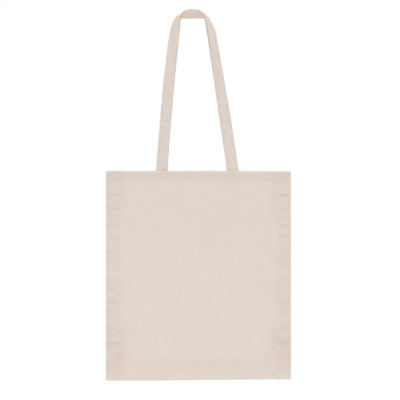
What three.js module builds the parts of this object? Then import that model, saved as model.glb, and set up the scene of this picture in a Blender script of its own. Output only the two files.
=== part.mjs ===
// Canvas tote bag: two cloth panels sewn together at the sides and the bottom, a folded hem round
// the mouth, and two strap handles whose ends are sewn inside the hem.
//
// Millimetres, +Z up, the front towards -Y and the left side towards -X. The bag hangs by its
// handles. The origin is the hang point, on the centre plane under the crowns of both handles.

import * as THREE from 'three';

// ---------------------------------------------------------------------------------------------
// Driving dimensions
// ---------------------------------------------------------------------------------------------

// Bag body
const bagWidth = 380;
const bagHeight = 430;
const bagDepth = 25;              // outside of the front panel to outside of the back, at the mouth
const bottomFullness = 0.35;      // share of that depth just above the bottom seam
const clothThickness = 0.7;
const sideMargin = 40;            // slope between the flat of a panel and its side seam
const bottomMargin = 49;          // slope between the flat of a panel and the bottom seam
const marginSteps = 6;
const seamAllowance = 10;         // width of the overlocked strip inside each seam
const sewnGap = 0.3;              // clearance between pieces that are sewn to each other

// Hem round the mouth: the cloth is turned in twice
const hemDepth = 22;
const hemLayers = 3;
const hemRoll = 0.6;              // height over which the cloth thickens into the hem
const hemStitchDepth = 17.9;      // from the mouth down to the row of stitches

// Thread
const threadWidth = 0.9;
const threadThickness = 0.4;

// Handles: strips of the same cloth folded into straps
const strapWidth = 24;
const strapThickness = 2;
const strapEndDepth = 19;         // how far a sewn end reaches below the mouth
const handleSpacing = 146.6;      // between the centres of the two ends of a handle
const handleShift = -2.2;         // of those ends from the middle of the bag
const handleRise = 314;           // from the mouth to the hang point
const crownShift = -11.4;         // of the hang point from the middle of the bag
const crownGap = 1.6;             // from the centre plane to a handle's back edge on its hook
const leftBaseTwist = 21;         // degrees that the left leg turns just above the mouth
const rightBaseTwist = 8;
const baseRise = 0.12;            // share of a leg in which it does so
const leftTwistPower = 5;         // how late in the left leg the rest of its twist comes
const rightTwistPower = 1.1;
const leftBow = 1.3;              // how far the left leg swings outwards halfway up
const tiltPower = 4;              // how late in a leg its edges leave one level
const foldHeight = 1.5;           // of a handle's fold line above the mouth
const stepsPerSpan = 2;

// A handle over its hook, from left to right, measured from the hang point: where the strap's front
// edge lies, sideways and upwards, then how far its back edge lies beside and above that, in strap
// widths. What is left of the width runs back.
const turn = [
  [-28, -26, -0.75, 0.08],        // top of the left leg
  [-27, -13, -0.6, 0.17],
  [-27, -3, -0.33, 0.23],
  [-25.5, 4, -0.17, 0.19],        // left tip
  [-23, 9.5, -0.17, -0.1],
  [-19, 13, -0.23, -0.5],
  [-11, 15.5, -0.08, -0.6],
  [0, 16.5, 0, -0.65],            // middle of the crown
  [11, 15, 0.06, -0.58],
  [18.5, 11.5, 0.23, -0.44],
  [22.5, 8, 0.19, -0.08],
  [25.5, 3, 0.17, 0.1],           // right tip
  [27.5, -4, 0.29, 0.08],
  [29, -15, 0.48, 0.12],
  [31, -27, 0.62, 0.08],          // top of the right leg
];

// Stitching
const tackInset = 3;              // of a tack's frame from the edges of the strap end
const strapStitchInset = 2.6;     // of a handle's stitch rows from the strap's edges

// ---------------------------------------------------------------------------------------------
// Sizes that follow from them
// ---------------------------------------------------------------------------------------------

const halfWidth = bagWidth / 2;
const seamThickness = 2 * clothThickness;
const hemThickness = hemLayers * clothThickness;
const flatFace = bagDepth / 2;                             // outer face of a panel at the mouth
const edgeInner = seamThickness / 2 + sewnGap;             // inner face of a panel at its seams
const foldGap = sewnGap / 2;

const colours = { cloth: 0xe1d7cd, hem: 0xdcd0c6, strap: 0xded2c8, thread: 0xd8cbbb };

// ---------------------------------------------------------------------------------------------
// Geometry helpers
// ---------------------------------------------------------------------------------------------

// A closed slab between two grids of points, rows by columns. The front grid is seen with its
// columns running to the right and its rows running up.
function slab(front, back) {
  const rows = front.length;
  const columns = front[0].length;
  const points = [...front.flat(), ...back.flat()];
  const at = (layer, row, column) => (layer * rows + row) * columns + column;
  const index = [];
  const quad = (a, b, c, d) => index.push(a, b, c, a, c, d);
  for (let r = 0; r + 1 < rows; r++) {
    for (let c = 0; c + 1 < columns; c++) {
      quad(at(0, r, c), at(0, r, c + 1), at(0, r + 1, c + 1), at(0, r + 1, c));
      quad(at(1, r, c), at(1, r + 1, c), at(1, r + 1, c + 1), at(1, r, c + 1));
    }
  }
  const rim = (a, b) => quad(at(0, ...a), at(1, ...a), at(1, ...b), at(0, ...b));
  for (let c = 0; c + 1 < columns; c++) {
    rim([0, c], [0, c + 1]);
    rim([rows - 1, c + 1], [rows - 1, c]);
  }
  for (let r = 0; r + 1 < rows; r++) {
    rim([r + 1, 0], [r, 0]);
    rim([r, columns - 1], [r + 1, columns - 1]);
  }
  const geometry = new THREE.BufferGeometry();
  geometry.setAttribute('position', new THREE.Float32BufferAttribute(points.flatMap(p => p.toArray()), 3));
  geometry.setIndex(index);
  geometry.computeVertexNormals();
  return geometry;
}

// The same slab seen from the other side of the centre plane.
function mirrored(geometry) {
  const copy = geometry.clone().scale(1, -1, 1);
  const index = copy.getIndex();
  for (let i = 0; i < index.count; i += 3) {
    const first = index.getX(i);
    index.setX(i, index.getX(i + 1));
    index.setX(i + 1, first);
  }
  copy.computeVertexNormals();
  return copy;
}

function part(name, geometry, color, roughness = 0.95) {
  const mesh = new THREE.Mesh(geometry, new THREE.MeshStandardMaterial({ color, roughness, metalness: 0 }));
  mesh.name = name;
  return mesh;
}

// ---------------------------------------------------------------------------------------------
// Panels, in a frame with z = 0 at the bottom of the bag and x = 0 in its middle
// ---------------------------------------------------------------------------------------------

// 0 at a seam and 1 on the flat of the panel, with no kink at either end.
const ease = t => THREE.MathUtils.smoothstep(t, 0, 1);

// Distance of a panel's outer face from the centre plane. It is flat between the margins, and leans
// out towards the mouth.
function outerFace(x, z) {
  const fullness = THREE.MathUtils.lerp(z / bagHeight, ease(z / bottomMargin), bottomFullness);
  const rise = ease((halfWidth - Math.abs(x)) / sideMargin) * fullness;
  const edge = edgeInner + clothThickness;
  const body = edge + (flatFace - edge) * rise;
  return z > bagHeight - hemDepth ? Math.max(body, edgeInner + hemThickness) : body;
}

function panelThickness(z) {
  return z > bagHeight - hemDepth ? hemThickness : clothThickness;
}

const marginStations = Array.from({ length: marginSteps + 1 }, (_, i) => i / marginSteps);
const panelColumns = [
  ...marginStations.map(t => -halfWidth + t * sideMargin),
  ...marginStations.map(t => halfWidth - t * sideMargin).reverse(),
];
const panelRows = [
  ...marginStations.map(t => t * bottomMargin),
  bagHeight - hemDepth,
  bagHeight - hemDepth + hemRoll,
  bagHeight,
];

function panelGeometry() {
  const grid = inset => panelRows.map(z => panelColumns.map(
    x => new THREE.Vector3(x, -outerFace(x, z) + inset(z), z)));
  return slab(grid(() => 0), grid(panelThickness));
}

// A row of stitches that runs across the outside of the hem.
function hemStitchGeometry() {
  const z = bagHeight - hemStitchDepth;
  const columns = panelColumns.filter(x => Math.abs(x) < halfWidth);
  const grid = lift => [-1, 1].map(side => columns.map(
    x => new THREE.Vector3(x, -outerFace(x, z) - lift, z + side * threadWidth / 2)));
  return slab(grid(sewnGap + threadThickness), grid(sewnGap));
}

// ---------------------------------------------------------------------------------------------
// Seams: the panels' allowances, sewn and overlocked into one strip inside the bag
// ---------------------------------------------------------------------------------------------

function sideSeamGeometry() {
  return new THREE.BoxGeometry(seamAllowance, seamThickness, bagHeight);
}

function bottomSeamGeometry() {
  return new THREE.BoxGeometry(bagWidth - 2 * (seamAllowance + sewnGap), seamThickness, seamAllowance);
}

// ---------------------------------------------------------------------------------------------
// Handles, for the front of the bag, with z = 0 at the mouth and x = 0 in the middle of the bag
// ---------------------------------------------------------------------------------------------

const endCentre = side => handleShift + side * handleSpacing / 2;
const hemInside = outerFace(endCentre(1), bagHeight - strapEndDepth) - hemThickness;
const strapPlane = hemInside - sewnGap - strapThickness / 2;

// The strap's front and back edge at a station over the hook.
function turnEdges([x, z, beside, above]) {
  const back = Math.sqrt(1 - beside ** 2 - above ** 2);
  const across = new THREE.Vector3(beside, back, above).multiplyScalar(strapWidth);
  const front = new THREE.Vector3(crownShift + x, -crownGap - across.y, handleRise + z);
  return [front, front.clone().add(across)];
}

// The strap's inner and outer edge at a share of the way up a leg. The strap first turns a little about
// its middle. Higher up its inner edge comes forward and becomes the front edge over the hook, and
// its outer edge turns back behind it.
function legEdges(side, share) {
  const left = side < 0;
  const mouth = new THREE.Vector3(endCentre(side) - side * strapWidth / 2, -strapPlane, foldHeight + foldGap);
  const [top, topOuter] = turnEdges(left ? turn[0] : turn[turn.length - 1]);
  const inner = mouth.lerp(top, share);
  const base = THREE.MathUtils.degToRad(left ? leftBaseTwist : rightBaseTwist) * ease(share / baseRise);
  const half = strapWidth / 2 * (1 - share);
  const bow = left ? leftBow * Math.sin(Math.PI * share) : 0;
  inner.x += side * (half * (1 - Math.cos(base)) + bow);
  inner.y -= half * Math.sin(base);
  const across = topOuter.sub(top);
  const fullTwist = Math.atan2(across.y, side * across.x);
  const twist = THREE.MathUtils.lerp(base, fullTwist, share ** (left ? leftTwistPower : rightTwistPower));
  const level = new THREE.Vector3(side * Math.cos(twist), Math.sin(twist), 0);
  const rise = across.z / strapWidth * share ** tiltPower;
  return [inner, inner.clone().addScaledVector(level.setZ(rise).normalize(), strapWidth)];
}

const legShares = [0, baseRise / 2, baseRise, 0.3, 0.5, 0.7, 0.85, 0.93];
const strapStations = [
  ...legShares.map(share => legEdges(-1, share)),
  ...turn.map(turnEdges),
  ...legShares.map(share => legEdges(1, share)).reverse(),
];
const innerEdge = new THREE.CatmullRomCurve3(strapStations.map(pair => pair[0]));
const outerEdge = new THREE.CatmullRomCurve3(strapStations.map(pair => pair[1]));

// A strip of the strap through a list of distances from its inner edge, between two heights off its
// middle. The side with the larger height is the outside of the handle.
function strapStrip(distances, low, high) {
  const columns = distances.toReversed();
  const steps = (strapStations.length - 1) * stepsPerSpan;
  const grids = [[], []];
  for (let i = 0; i <= steps; i++) {
    const t = i / steps;
    const inner = innerEdge.getPoint(t);
    const across = outerEdge.getPoint(t).sub(inner).normalize();
    const along = innerEdge.getTangent(t).add(outerEdge.getTangent(t)).normalize();
    const normal = new THREE.Vector3().crossVectors(across, along).normalize();
    [high, low].forEach((height, layer) => {
      grids[layer].push(columns.map(distance => inner.clone()
        .addScaledVector(across, distance).addScaledVector(normal, -height)));
    });
  }
  return slab(grids[0], grids[1]);
}

// The two sides of a row of stitches that runs along the strap.
const rowSides = centre => [centre - threadWidth / 2, centre + threadWidth / 2];
const innerRow = rowSides(strapStitchInset);
const outerRow = rowSides(strapWidth - strapStitchInset);

function loopGeometry() {
  const columns = [0, ...innerRow, ...outerRow, strapWidth];
  return strapStrip(columns, -strapThickness / 2, strapThickness / 2);
}

function loopStitchGeometry(row) {
  const low = strapThickness / 2 + sewnGap;
  return strapStrip(row, low, low + threadThickness);
}

const strapEndHeight = strapEndDepth + foldHeight - foldGap;

function strapEndGeometry() {
  return new THREE.BoxGeometry(strapWidth, strapThickness, strapEndHeight);
}

// A tack: a frame of stitches with a cross in it, through the hem and the strap end. The hem leans
// out, so the tack lies closest to it along its upper edge.
const tackSeat = outerFace(endCentre(1), bagHeight - tackInset);

function tackGeometry() {
  const w = strapWidth / 2 - tackInset;
  const h = strapEndDepth / 2 - tackInset;
  const frame = new THREE.Shape();
  frame.moveTo(-w, -h).lineTo(w, -h).lineTo(w, h).lineTo(-w, h).closePath();
  const innerW = w - threadWidth;
  const innerH = h - threadWidth;
  // Half the thread's width, measured along each edge of the frame where the cross meets it.
  const diagonal = Math.hypot(innerW, innerH);
  const alongX = threadWidth / 2 * diagonal / innerH;
  const alongY = threadWidth / 2 * diagonal / innerW;
  for (const s of [-1, 1]) {
    const upright = new THREE.Path();
    upright.moveTo(s * innerW, -innerH + alongY).lineTo(s * innerW, innerH - alongY);
    upright.lineTo(s * alongX, 0).closePath();
    const level = new THREE.Path();
    level.moveTo(-innerW + alongX, s * innerH).lineTo(innerW - alongX, s * innerH);
    level.lineTo(0, s * alongY).closePath();
    frame.holes.push(upright, level);
  }
  const geometry = new THREE.ExtrudeGeometry(frame, { depth: threadThickness, bevelEnabled: false });
  return geometry.rotateX(Math.PI / 2);
}

// ---------------------------------------------------------------------------------------------
// Assembly
// ---------------------------------------------------------------------------------------------

// Everything on one side of the bag: its panel, its handle and their stitching.
function bagSide(name, facing) {
  const turned = geometry => (facing < 0 ? geometry : mirrored(geometry));
  const group = new THREE.Group();
  group.add(part(`${name}_panel`, turned(panelGeometry()), colours.cloth));
  group.add(part(`${name}_hem_stitching`, turned(hemStitchGeometry()), colours.thread));
  const handle = new THREE.Group();
  handle.position.z = bagHeight;
  handle.add(part(`${name}_handle_loop`, turned(loopGeometry()), colours.strap));
  handle.add(part(`${name}_handle_inner_stitching`, turned(loopStitchGeometry(innerRow)), colours.thread));
  handle.add(part(`${name}_handle_outer_stitching`, turned(loopStitchGeometry(outerRow)), colours.thread));
  for (const [end, side] of [['left', -1], ['right', 1]]) {
    const sewn = part(`${name}_handle_${end}_end`, strapEndGeometry(), colours.strap);
    sewn.position.set(endCentre(side), facing * strapPlane, strapEndHeight / 2 - strapEndDepth);
    const tack = part(`${name}_${end}_tack`, tackGeometry(), colours.thread);
    const tackFace = tackSeat + sewnGap + (facing < 0 ? 0 : threadThickness);
    tack.position.set(endCentre(side), facing * tackFace, -strapEndDepth / 2);
    handle.add(sewn, tack);
  }
  group.add(handle);
  return group;
}

function seams() {
  const group = new THREE.Group();
  for (const [name, side] of [['left', -1], ['right', 1]]) {
    const seam = part(`${name}_side_seam`, sideSeamGeometry(), colours.hem);
    seam.position.set(side * (halfWidth - seamAllowance / 2), 0, bagHeight / 2);
    group.add(seam);
  }
  const bottom = part('bottom_seam', bottomSeamGeometry(), colours.hem);
  bottom.position.z = seamAllowance / 2;
  group.add(bottom);
  return group;
}

const bag = new THREE.Group();
bag.add(bagSide('front', -1), bagSide('back', 1), seams());
bag.position.set(-crownShift, 0, -bagHeight - handleRise);

const model = new THREE.Group();
model.add(bag);

export default model;
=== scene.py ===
"""Canvas tote bag: two cloth panels, two strap handles, and the thread that holds them.

Lengths are in millimetres in the bag's own frame, with x = 0 in the middle of the bag, y = 0 on its
centre plane and z = 0 at its bottom edge, and become metres in the row frame when a mesh is made.
"""

import math

import bpy
import numpy as np
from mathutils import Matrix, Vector


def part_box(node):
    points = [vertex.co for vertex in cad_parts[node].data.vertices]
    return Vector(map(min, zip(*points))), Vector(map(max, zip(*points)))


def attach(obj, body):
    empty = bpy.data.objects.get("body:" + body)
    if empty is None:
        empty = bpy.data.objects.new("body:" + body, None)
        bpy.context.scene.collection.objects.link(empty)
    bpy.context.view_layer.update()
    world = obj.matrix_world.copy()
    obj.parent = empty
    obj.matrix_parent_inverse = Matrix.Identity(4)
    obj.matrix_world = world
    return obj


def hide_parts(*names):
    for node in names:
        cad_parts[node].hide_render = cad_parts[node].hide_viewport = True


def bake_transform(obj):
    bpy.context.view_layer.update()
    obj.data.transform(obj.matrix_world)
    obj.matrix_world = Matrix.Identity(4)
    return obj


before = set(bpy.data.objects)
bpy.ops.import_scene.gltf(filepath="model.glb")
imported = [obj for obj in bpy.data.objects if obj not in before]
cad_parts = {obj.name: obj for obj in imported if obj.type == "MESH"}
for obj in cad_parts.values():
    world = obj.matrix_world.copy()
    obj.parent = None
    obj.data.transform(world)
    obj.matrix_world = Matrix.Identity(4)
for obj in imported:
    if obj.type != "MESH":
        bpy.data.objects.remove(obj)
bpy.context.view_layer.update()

# ==== Sizes from the frame ====

MM = 0.001


def box_mm(node):
    """Lowest and highest corner of a CAD node, in millimetres in the row frame."""
    low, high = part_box(node)
    return np.array(low) / MM, np.array(high) / MM


panel_low, panel_high = box_mm("front_panel")
BAG_ORIGIN = np.array([(panel_low[0] + panel_high[0]) / 2, 0.0, panel_low[2]])
WIDTH = panel_high[0] - panel_low[0]
HEIGHT = panel_high[2] - panel_low[2]
HALF_WIDTH = WIDTH / 2
FLAT_FACE = -panel_low[1]

strap_ends = [box_mm(f"front_handle_{end}_end") for end in ("left", "right")]
end_low, end_high = strap_ends[0]
STRAP_WIDTH = end_high[0] - end_low[0]
STRAP_THICKNESS = end_high[1] - end_low[1]
STRAP_PLANE = -(end_low[1] + end_high[1]) / 2
END_DEPTH = panel_high[2] - end_low[2]
END_CENTRES = [(low[0] + high[0]) / 2 - BAG_ORIGIN[0] for low, high in strap_ends]

# The row frame's origin is the hang point, under the middle of both crowns.
CROWN_CENTRE = -BAG_ORIGIN[0]
CROWN_UNDERSIDE = -BAG_ORIGIN[2]

# ==== Sizes of the cloth and the sewing ====

CLOTH = 0.7
SEAM_ROLL = 1.5  # radius with which a panel rolls into a seam
SEAM_GAP = 0.08  # from the centre plane to the middle of the cloth at a seam
SIDE_SLOPE = 33.0  # how far in from a side seam the panel reaches its full depth
BOTTOM_RIDGE = 7.0  # upright strip above the bottom seam, stiffened by the allowance
BOTTOM_RISE = 42.0  # height over which the panel first swells above that strip
CREASE_HEIGHT = 222.0  # of the crease where the bag was once folded in half, pressed flat
TUCK_BAND = 30.0  # how far in from a side seam its small ripples reach
HEM_DEPTH = 22.0
HEM_STITCH_DEPTH = 17.9
HEM_STITCH_END = 4.0  # from the last stitch of the hem to the side seam
LAYER = 0.76  # from one layer of the hem to the next
TACK_DEPTHS = (3.0, 16.0)  # of a tack's frame below the mouth
TACK_INSET = 3.0  # of a tack's frame from the edges of the strap end
TACK_DRAW = 0.5  # how far the tacks draw the hem in onto the strap ends
TACK_REACH = 9.0  # how far beside a strap end the hem is still drawn in
STITCH_LENGTH = 3.2
TACK_STITCH_LENGTH = 2.6
THREAD_RADIUS = 0.26
SEAM_ALLOWANCE = 10.0

# ==== Helpers ====


def smoothstep(t):
    """0 below 0 and 1 above 1, with a smooth rise between."""
    t = np.clip(t, 0.0, 1.0)
    return t * t * (3 - 2 * t)


def bell(distance, width):
    """1 in the middle, falling off on both sides."""
    return np.exp(-((distance / width) ** 2))


def fade(distance, reach):
    """1 at no distance, falling off with it."""
    return np.exp(-distance / reach)


def softly_above(value, floor, softness):
    """The value, kept above a floor with a soft bend."""
    return floor + softness * np.log1p(np.exp((value - floor) / softness))


# Free values of the random lines and surfaces, and the one that stands at 0
LINE_VALUES, LINE_START = 1024, 300.0
SURFACE_VALUES, SURFACE_START = 512, 130.0


def between(place, count):
    """Which free values lie round a place, repeating after the count, and the second's share."""
    whole = np.floor(place).astype(int)
    return whole % count, (whole + 1) % count, smoothstep(place - whole)


def wave(t, spacing, seed):
    """A smooth random line through -1..1, with one free value every spacing."""
    values = np.random.default_rng(seed).uniform(-1, 1, LINE_VALUES)
    before, after, share = between(t / spacing + LINE_START, LINE_VALUES)
    return values[before] * (1 - share) + values[after] * share


def waves(x, z, spacing_x, spacing_z, seed):
    """The same over a surface."""
    values = np.random.default_rng(seed).uniform(-1, 1, (SURFACE_VALUES, SURFACE_VALUES))
    i0, i1, a = between(x / spacing_x + SURFACE_START, SURFACE_VALUES)
    j0, j1, b = between(z / spacing_z + SURFACE_START, SURFACE_VALUES)
    low = values[i0, j0] * (1 - a) + values[i1, j0] * a
    high = values[i0, j1] * (1 - a) + values[i1, j1] * a
    return low * (1 - b) + high * b


def unit(vectors):
    return vectors / np.maximum(np.linalg.norm(vectors, axis=-1, keepdims=True), 1e-9)


def distances_along(line):
    """Distance of each point of a line from its start, along the line."""
    steps = np.linalg.norm(np.diff(line, axis=0), axis=1)
    return np.concatenate([[0.0], np.cumsum(steps)])


def points_along(line, distances, wanted):
    """Points of a line at the wanted distances along it."""
    return np.stack([np.interp(wanted, distances, line[:, k]) for k in range(3)], -1)


def facing(side):
    """Factors that put a piece of the front on a side of the bag."""
    return np.array([1.0, 1.0 if side == "front" else -1.0, 1.0])


def link(name, data):
    """A new object in the scene."""
    made = bpy.data.objects.new(name, data)
    bpy.context.scene.collection.objects.link(made)
    return made


def make_piece(name, points, faces, uv, material):
    """A shaded mesh from points in the bag's frame. uv is their place on the cloth."""
    mesh = bpy.data.meshes.new(name)
    mesh.from_pydata(((points + BAG_ORIGIN) * MM).tolist(), [], faces)
    mesh.polygons.foreach_set("use_smooth", np.ones(len(mesh.polygons), bool))
    corners = np.zeros(len(mesh.loops), int)
    mesh.loops.foreach_get("vertex_index", corners)
    layer = mesh.uv_layers.new(name="cloth")
    layer.data.foreach_set("uv", (uv[corners] * MM).astype(np.float32).ravel())
    mesh.materials.append(material)
    mesh.update()
    return link(name, mesh)


def cloth_solid(name, grid, uv, thickness, material):
    """A sheet of cloth of even thickness round a grid of points, rows by columns."""
    rows, columns = grid.shape[:2]
    offset = unit(np.cross(np.gradient(grid, axis=1), np.gradient(grid, axis=0))) * thickness / 2
    points = np.concatenate([(grid + offset).reshape(-1, 3), (grid - offset).reshape(-1, 3)])
    count = rows * columns
    number = np.arange(count).reshape(rows, columns)
    square = [number[:-1, :-1], number[:-1, 1:], number[1:, 1:], number[1:, :-1]]
    outside = np.stack(square, -1).reshape(-1, 4)
    inside = outside[:, [0, 3, 2, 1]] + count
    rim = np.concatenate([number[0], number[1:, -1], number[-1, -2::-1], number[-2::-1, 0]])
    edge = np.stack([rim[:-1], rim[:-1] + count, rim[1:] + count, rim[1:]], -1)
    faces = np.concatenate([outside, inside, edge]).tolist()
    both = np.concatenate([uv.reshape(-1, 2)] * 2)
    return make_piece(name, points, faces, both, material)


# A stitch from end to end: share of its length, and shares of its thread's radius and of its rise
STITCH_PROFILE = [(0, 0.45, -0.8), (0.12, 0.9, 0.35), (0.5, 1.05, 1), (0.88, 0.9, 0.35), (1, 0.45, -0.8)]
STITCH_SIDES = 6


def stitch_piece(name, rows, side="front", radius=THREAD_RADIUS, rise=0.22):
    """Single stitches: short lengths of thread that come up from the cloth and dive again. Each row
    has their start points, their end points and the directions out of the cloth."""
    starts, ends, normals = (np.concatenate(parts) * facing(side) for parts in zip(*rows))
    shares, swell, lift = np.array(STITCH_PROFILE).T
    turns = np.arange(STITCH_SIDES) / STITCH_SIDES * 2 * math.pi
    along = unit(ends - starts)
    normals = unit(normals - along * (normals * along).sum(-1, keepdims=True))
    across = np.cross(along, normals)
    spine = starts[:, None] + (ends - starts)[:, None] * shares[:, None]
    spine = spine + normals[:, None] * (lift * rise)[:, None]
    ring = across[:, None, None] * np.cos(turns)[:, None] + normals[:, None, None] * np.sin(turns)[:, None]
    points = spine[:, :, None] + ring * (swell * radius)[:, None, None]
    number = np.arange(points.size // 3).reshape(points.shape[:3])
    beside = np.roll(number, -1, axis=2)
    walls = np.stack([number[:, :-1], beside[:, :-1], beside[:, 1:], number[:, 1:]], -1)
    faces = walls.reshape(-1, 4).tolist() + number[:, 0, ::-1].tolist() + number[:, -1].tolist()
    lengths = np.linalg.norm(ends - starts, axis=-1)
    u, v = np.broadcast_arrays(turns * radius, shares[:, None] * lengths[:, None, None])
    return make_piece(name, points.reshape(-1, 3), faces, np.stack([u, v], -1).reshape(-1, 2), thread)


# ==== Materials ====


class Graph:
    """Short calls for building the nodes of a material or a world."""

    def __init__(self, owner):
        owner.use_nodes = True
        self.owner, self.tree = owner, owner.node_tree
        self.shader = self.tree.nodes.get("Principled BSDF")

    def node(self, kind, inputs=None, **settings):
        made = self.tree.nodes.new("ShaderNode" + kind)
        for key, value in settings.items():
            setattr(made, key, value)
        for key, value in (inputs or {}).items():
            self.feed(made.inputs[key], value)
        return made

    def feed(self, socket, value):
        if isinstance(value, bpy.types.NodeSocket):
            self.tree.links.new(value, socket)
        else:
            socket.default_value = value

    def cloth_place(self):
        """Where a point lies on its piece of cloth, in metres across it and along it."""
        uv = self.node("UVMap", uv_map="cloth").outputs[0]
        split = self.node("SeparateXYZ", {0: uv})
        return split.outputs[0], split.outputs[1]

    def math(self, operation, *values):
        return self.node("Math", dict(enumerate(values)), operation=operation).outputs[0]

    def plus(self, a, b):
        return self.math("ADD", a, b)

    def minus(self, a, b):
        return self.math("SUBTRACT", a, b)

    def times(self, a, b):
        return self.math("MULTIPLY", a, b)

    def size(self, a):
        return self.math("ABSOLUTE", a)

    def ramp(self, value, low, high):
        """0 at low and 1 at high, smooth between them. Low may be the larger one."""
        inputs = {"Value": value, "From Min": low, "From Max": high}
        return self.node("MapRange", inputs, interpolation_type="SMOOTHSTEP").outputs["Result"]

    def ramp_mm(self, value, limits):
        """The same between two limits in millimetres."""
        return self.ramp(value, limits[0] * MM, limits[1] * MM)

    def mix(self, share, a, b, kind="MIX"):
        """A colour between two colours, or with another kind their product."""
        return self.node("Mix", {0: share, 6: a, 7: b}, data_type="RGBA", blend_type=kind).outputs[2]

    def tinted(self, colour, tint):
        return self.mix(1.0, colour, tint, "MULTIPLY")

    def blend(self, share, a, b):
        """A number between two numbers."""
        return self.node("Mix", {0: share, 2: a, 3: b}, data_type="FLOAT").outputs[0]

    def noise(self, u, v, waves_u, waves_v, detail=2.0, seed=0.0):
        """Noise from 0 to 1, with its own number of waves per metre in each direction."""
        inputs = {0: self.times(u, waves_u), 1: self.times(v, waves_v), 2: seed}
        place = self.node("CombineXYZ", inputs).outputs[0]
        inputs = {"Vector": place, "Scale": 1.0, "Detail": detail}
        return self.node("TexNoise", inputs).outputs["Fac"]

    def stray(self, noise, reach):
        """A distance that wanders with the noise, by the reach in all."""
        return self.times(self.minus(noise, 0.5), reach)

    def relief(self, height, strength, depth):
        """Normals for fine relief, where a height of 1 stands for the depth."""
        inputs = {"Strength": strength, "Distance": depth, "Height": height}
        return self.node("Bump", inputs).outputs[0]

    def camera_ray(self):
        return self.node("LightPath").outputs["Is Camera Ray"]

    def mix_shaders(self, share, a, b):
        return self.node("MixShader", {0: share, 1: a.outputs[0], 2: b.outputs[0]}).outputs[0]

    def finished(self, inputs):
        """The material, with these inputs of its shader set."""
        for name, value in inputs.items():
            self.feed(self.shader.inputs[name], value)
        return self.owner


def shade(colour, factor):
    return tuple(channel * factor for channel in colour[:3]) + (1.0,)


CANVAS = (0.7715, 0.695, 0.6293, 1.0)
STRAP = (0.770, 0.678, 0.616, 1.0)
THREAD = (0.80, 0.725, 0.64, 1.0)
FLECK = (0.36, 0.27, 0.18, 1.0)
FLOOR = (0.86, 0.86, 0.86, 1.0)
WHITE = (1.0, 1.0, 1.0, 1.0)

# The weave, in metres
WARP_PITCH, WEFT_PITCH = 0.00062, 0.00070
THREAD_STRAY = 0.0007  # how far the threads wander from straight
WEAVE_DEPTH = 0.00016

# Ply ridges of the sewing thread: radians of twist for each metre round it and along it
TWIST_ROUND, TWIST_ALONG = 3800.0, 7000.0
PLY_DEPTH = 0.00008


def weave_height(g, u, v):
    """Plain weave: warp threads run up the cloth and weft threads across it, each over and under."""
    warp = g.math("DIVIDE", u, WARP_PITCH)
    weft = g.math("DIVIDE", v, WEFT_PITCH)
    over = g.math("FLOORED_MODULO", g.plus(g.math("FLOOR", warp), g.math("FLOOR", weft)), 2.0)

    def round_thread(place):
        side = g.minus(g.times(g.math("FRACT", place), 2.0), 1.0)
        return g.minus(1.0, g.times(side, side))

    def top(thread, crossed):
        """A thread is highest where it crosses the middle of another."""
        return g.times(thread, g.math("MULTIPLY_ADD", crossed, 0.5, 0.5))

    across, along = round_thread(warp), round_thread(weft)
    return g.blend(over, top(along, across), top(across, along))


def canvas_material(name, colour, tints):
    """Natural canvas. The last argument gives the places where light and shade are painted into the colour,
    with some streaks, and their tones.
    """
    g = Graph(bpy.data.materials.new(name))
    u, v = g.cloth_place()
    warp_u = g.plus(u, g.stray(g.noise(u, v, 160, 35), THREAD_STRAY))
    weft_v = g.plus(v, g.stray(g.noise(u, v, 35, 160, seed=4.0), THREAD_STRAY))
    height = weave_height(g, warp_u, weft_v)
    warp_slub = g.noise(u, v, 900, 30, seed=7.0)
    weft_slub = g.noise(u, v, 26, 800, seed=9.0)
    slub = g.plus(g.times(warp_slub, 0.5), g.times(weft_slub, 0.5))

    tone = g.mix(g.ramp(height, 0.05, 0.75), shade(colour, 0.86), shade(colour, 1.02))
    uneven = [
        (slub, (0.97, 0.965, 0.955, 1)),
        (g.noise(u, v, 55, 60, detail=3.0, seed=2.0), (0.993, 0.991, 0.989, 1)),
        (g.noise(u, v, 9, 7, seed=5.0), (0.992, 0.99, 0.987, 1)),
    ]
    for share, tint in uneven:
        tone = g.mix(g.ramp(share, 0.36, 0.64), g.tinted(tone, tint), tone)
    fleck = g.ramp(g.noise(u, v, 700, 1100, detail=0.0, seed=12.0), 0.81, 0.87)
    flecked = g.ramp(g.noise(u, v, 30, 30, detail=0.0, seed=14.0), 0.5, 0.75)
    tone = g.mix(g.times(fleck, g.times(flecked, 0.4)), tone, FLECK)
    # painted light and shade, and streaks, laid over the cloth's own colour
    for share, tint in tints(g, u, v):
        tone = g.mix(share, tone, g.tinted(tone, tint))

    fuzz = g.noise(u, v, 2600, 2600, seed=3.0)
    fibres = g.plus(g.plus(height, g.times(slub, 0.6)), g.times(fuzz, 0.25))
    return g.finished({
        "Base Color": tone,
        "Normal": g.relief(fibres, 0.55, WEAVE_DEPTH),
        "Roughness": g.blend(height, 0.98, 0.88),
        "Specular IOR Level": 0.25,
        "Sheen Weight": 0.12,
        "Sheen Roughness": 0.6,
    })


def thread_material(name, colour):
    """Two-ply sewing thread, with its twist as fine slanting ridges."""
    g = Graph(bpy.data.materials.new(name))
    u, v = g.cloth_place()
    slant = g.plus(g.times(u, TWIST_ROUND), g.times(v, TWIST_ALONG))
    twist = g.math("MULTIPLY_ADD", g.math("SINE", slant), 0.5, 0.5)
    return g.finished({
        "Base Color": g.mix(twist, shade(colour, 0.82), shade(colour, 1.03)),
        "Normal": g.relief(twist, 0.5, PLY_DEPTH),
        "Roughness": g.blend(twist, 0.9, 0.75),
        "Sheen Weight": 0.1,
    })
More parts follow.
